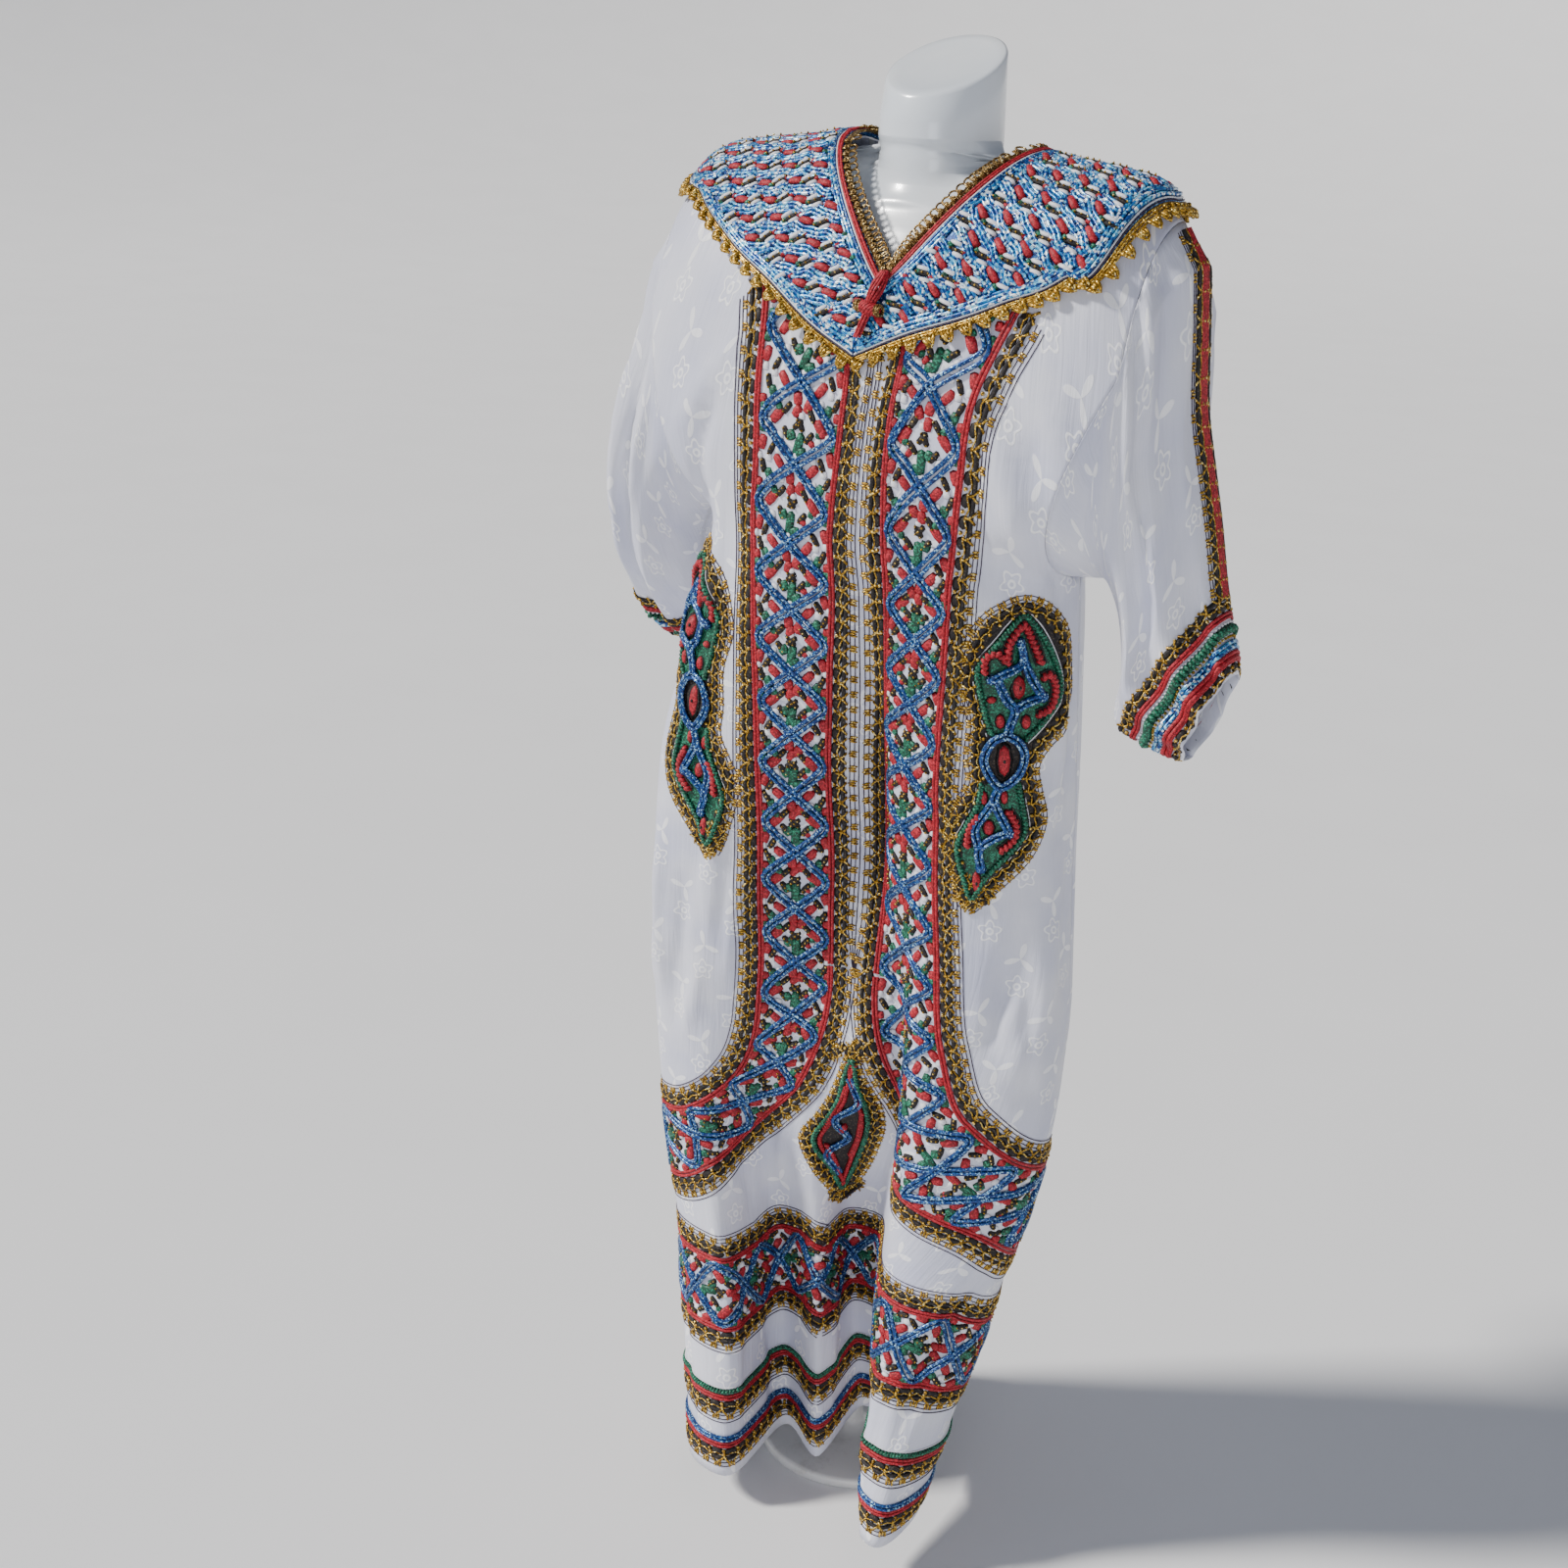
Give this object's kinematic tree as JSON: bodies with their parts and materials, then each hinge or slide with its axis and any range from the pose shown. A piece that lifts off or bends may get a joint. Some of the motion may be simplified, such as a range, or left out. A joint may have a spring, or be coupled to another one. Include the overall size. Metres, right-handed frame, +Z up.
{
  "type": "kaftan on a dress form",
  "caption": "Long white damask kaftan with a broad embroidered cape collar, hanging open-folded on a limbless dress form with a round stand.",
  "frame": {"origin": "the floor under the neck of the dress form, on the underside of the stand's base", "axes": "+Z up, -Y the way the front faces, +X the wearer's left"},
  "size_m": [0.719, 0.3104, 1.5493],
  "materials": {
    "front_panel": "white satin damask",
    "back_panel": "white satin damask",
    "sleeve_left": "white satin damask",
    "sleeve_right": "white satin damask",
    "collar_left": "dense raised embroidery in metallic thread",
    "collar_right": "dense raised embroidery in metallic thread",
    "collar_braid_left": "gold metallic thread braid with points",
    "collar_braid_right": "gold metallic thread braid with points",
    "neck_braid": "gold metallic thread braid with loops",
    "tie_cord": "red twisted cord with knots",
    "dress_form": "smooth white moulding",
    "stand": "white enamel"
  },
  "bodies": {
    "root": {"front_panel": "front_panel", "back_panel": "back_panel", "sleeve_left": "sleeve_left", "sleeve_right": "sleeve_right", "collar_left": "collar_left", "collar_right": "collar_right", "collar_braid_left": "collar_braid_left", "collar_braid_right": "collar_braid_right", "neck_braid": "neck_braid", "tie_cord": "tie_cord", "dress_form": "dress_form", "stand": "stand"}
  },
  "joints": []
}
